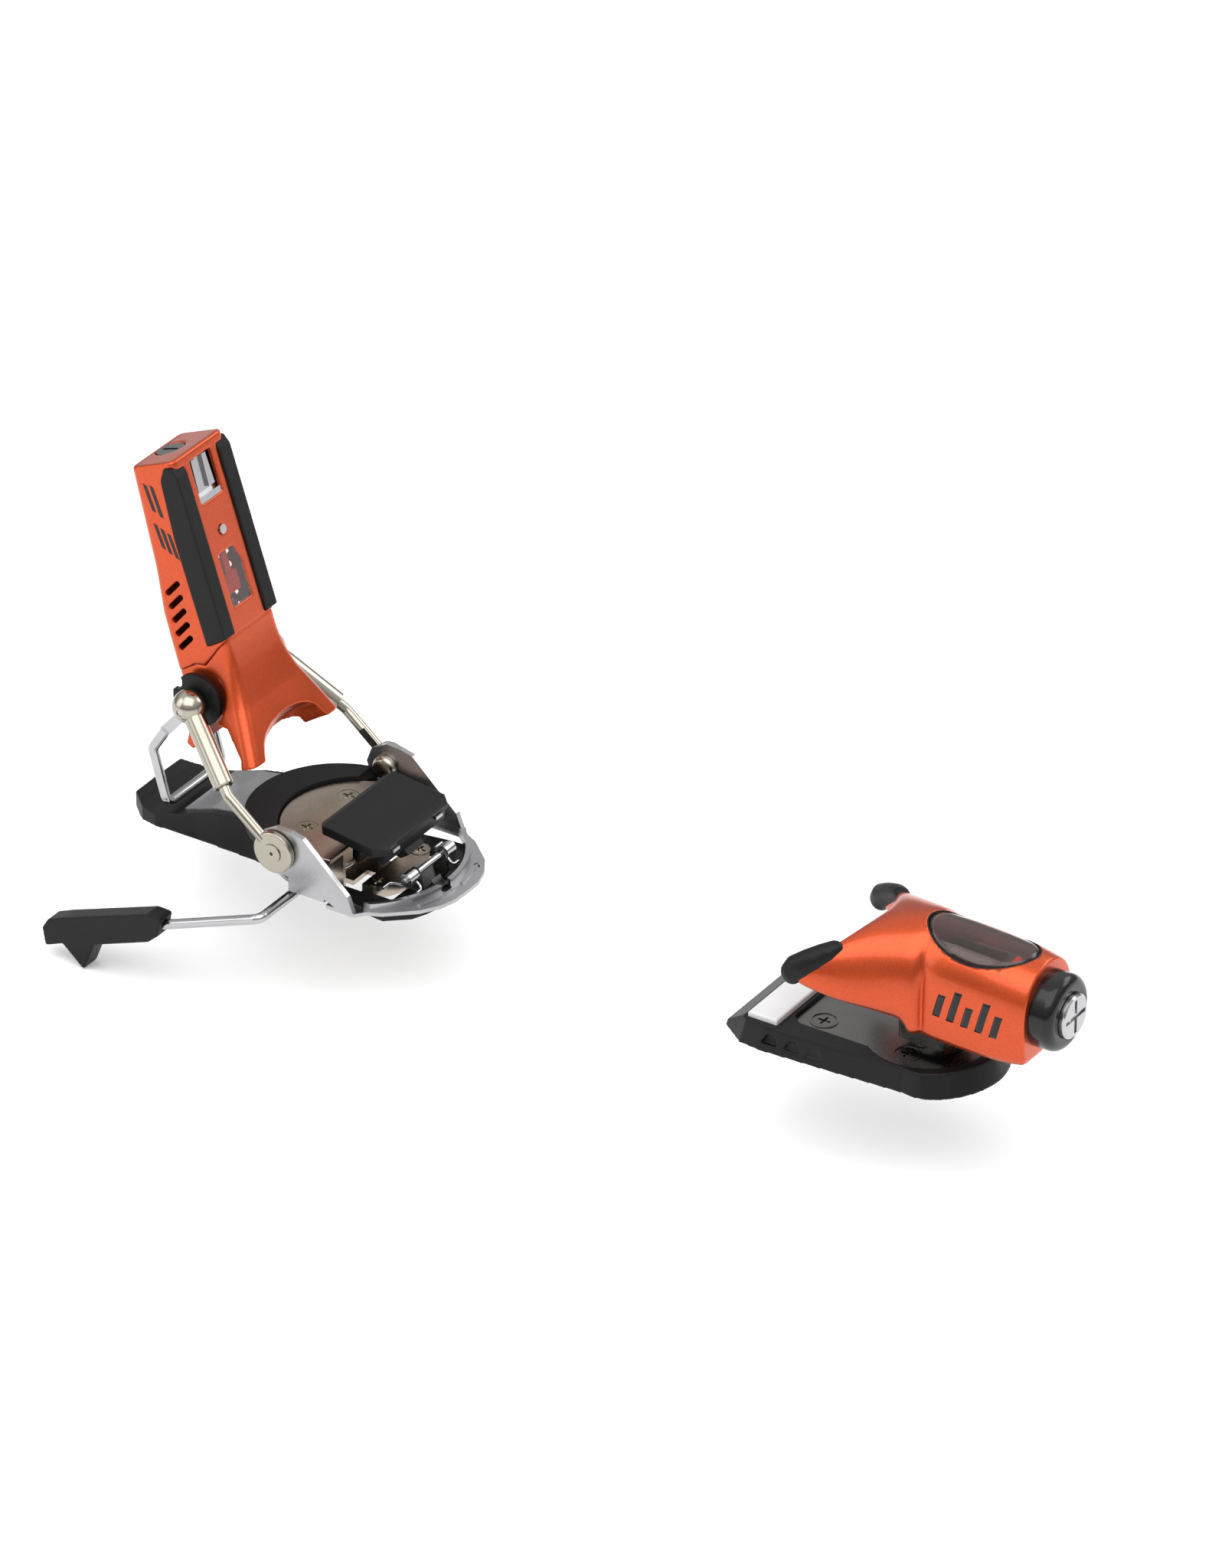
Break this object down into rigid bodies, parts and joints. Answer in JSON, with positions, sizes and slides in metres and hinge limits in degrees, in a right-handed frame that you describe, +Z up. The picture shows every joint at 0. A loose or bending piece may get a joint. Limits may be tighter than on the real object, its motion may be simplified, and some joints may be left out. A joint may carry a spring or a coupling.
{
  "type": "alpine ski binding",
  "caption": "Alpine ski binding with a toe piece and a turntable heel piece, orange metal housings and a ski brake, as an assembly with working joints.",
  "frame": {"origin": "on the ski's top surface, at the turntable's vertical axis, in the symmetry plane", "axes": "+X forward along the ski, +Y to the skier's left, +Z up"},
  "size_m": [0.4936, 0.1436, 0.2388],
  "materials": {
    "orange_paint": "gloss",
    "black_plastic": "satin",
    "black_rubber": "matte",
    "black_gloss": "gloss",
    "satin_aluminium": "satin",
    "nickel_plate": "satin",
    "champagne_nickel": "satin",
    "chrome": "polished",
    "dark_steel": "satin",
    "clear_cover": "gloss",
    "pale_plastic": "satin",
    "red_plastic": "gloss"
  },
  "bodies": {
    "ski_bases": {"heel_core": "nickel_plate", "heel_screws": "champagne_nickel", "brake_base": "black_plastic", "brake_bracket": "dark_steel", "bracket_pin": "chrome", "brake_springs": "chrome", "toe_base": "black_plastic", "afd_pad": "pale_plastic", "toe_plate": "dark_steel", "toe_screws": "dark_steel", "toe_post": "dark_steel"},
    "turntable": {"turntable_ring": "satin_aluminium", "arm_rivets": "champagne_nickel", "heel_base": "black_plastic", "rear_bumper": "black_rubber", "heel_tail_plate": "satin_aluminium"},
    "heel_arms": {"arm_right": "champagne_nickel", "arm_left": "champagne_nickel", "sleeve_right": "champagne_nickel", "sleeve_left": "champagne_nickel"},
    "bail": {"support_bail": "chrome"},
    "heel_housing": {"heel_shell": "orange_paint", "heel_cup": "orange_paint", "heel_strip_right": "black_rubber", "heel_strip_left": "black_rubber", "heel_insert": "chrome", "front_pin": "chrome", "heel_window": "clear_cover", "heel_spring": "dark_steel", "spring_piston": "dark_steel", "step_spur": "orange_paint", "knuckle_ring_right": "black_plastic", "knuckle_ring_left": "black_plastic", "cross_axle": "chrome"},
    "heel_adjuster": {"heel_dial": "chrome"},
    "heel_setting": {"spring_nut": "dark_steel", "heel_indicator": "red_plastic"},
    "brake_arms": {"brake_wire_right": "chrome", "brake_wire_left": "chrome", "brake_foot_right": "black_plastic", "brake_foot_left": "black_plastic"},
    "pedal": {"brake_pedal": "black_plastic", "pedal_tabs": "chrome"},
    "toe_swivel_yoke": {"toe_yoke": "dark_steel", "lift_pins": "dark_steel"},
    "toe_head": {"toe_housing": "orange_paint", "toe_window": "clear_cover", "scale_plate": "pale_plastic", "toe_spring": "dark_steel", "toe_ring": "black_gloss", "wing_pad_right": "black_plastic", "wing_pad_left": "black_plastic"},
    "toe_adjuster": {"toe_adjuster": "chrome"},
    "toe_setting": {"toe_nut": "red_plastic"}
  },
  "joints": [
    {"name": "heel_turn", "type": "hinge", "parent": "ski_bases", "child": "turntable", "pos_m": [0, 0, 0.012], "axis": [0, 0, 1], "range_deg": [-20, 20], "stiffness_Nm_per_rad": 0.3},
    {"name": "arm_swing", "type": "hinge", "parent": "turntable", "child": "heel_arms", "pos_m": [-0.014, 0, 0.025], "axis": [0, 1, 0], "range_deg": [0, 60]},
    {"name": "heel_open", "type": "hinge", "parent": "heel_arms", "child": "heel_housing", "pos_m": [-0.0693, 0, 0.0744], "axis": [0, 1, 0], "range_deg": [-50, 0], "stiffness_Nm_per_rad": 2},
    {"name": "bail_swing", "type": "hinge", "parent": "heel_arms", "child": "bail", "pos_m": [-0.0693, 0, 0.0744], "axis": [0, 1, 0], "range_deg": [0, 20]},
    {"name": "heel_release_setting", "type": "hinge", "parent": "heel_housing", "child": "heel_adjuster", "pos_m": [-0.09685, 0, 0.17652], "axis": [-0.3074, 0, 0.9516], "range_deg": [-1440, 1440]},
    {"name": "heel_setting_travel", "type": "slide", "parent": "heel_housing", "child": "heel_setting", "axis": [-0.3074, 0, 0.9516], "range_m": [-0.006, 0.006]},
    {"name": "brake_arm_swing", "type": "hinge", "parent": "ski_bases", "child": "brake_arms", "pos_m": [-0.008, 0, 0.0027], "axis": [0, 1, 0], "range_deg": [0, 24], "stiffness_Nm_per_rad": 2.5},
    {"name": "pedal_tilt", "type": "hinge", "parent": "brake_arms", "child": "pedal", "pos_m": [0.00542, 0, 0.01141], "axis": [0, 1, 0], "range_deg": [-26.5, 0]},
    {"name": "toe_swivel", "type": "hinge", "parent": "ski_bases", "child": "toe_swivel_yoke", "pos_m": [0.3, 0, 0.02], "axis": [0, 0, 1], "range_deg": [-35, 35], "stiffness_Nm_per_rad": 8},
    {"name": "toe_lift", "type": "hinge", "parent": "toe_swivel_yoke", "child": "toe_head", "pos_m": [0.3, 0, 0.033], "axis": [0, 1, 0], "range_deg": [0, 8], "stiffness_Nm_per_rad": 12},
    {"name": "toe_release_setting", "type": "hinge", "parent": "toe_head", "child": "toe_adjuster", "pos_m": [0.36, 0, 0.0445], "axis": [1, 0, 0], "range_deg": [-720, 720]},
    {"name": "toe_setting_travel", "type": "slide", "parent": "toe_head", "child": "toe_setting", "axis": [1, 0, 0], "range_m": [-0.003, 0.003]}
  ],
  "couplings": [
    {"joint": "heel_release_setting", "follows": "heel_setting_travel", "rad_per_m": 4188.8},
    {"joint": "toe_release_setting", "follows": "toe_setting_travel", "rad_per_m": 4188.8},
    {"joint": "pedal_tilt", "follows": "brake_arm_swing", "ratio": -1.1}
  ]
}
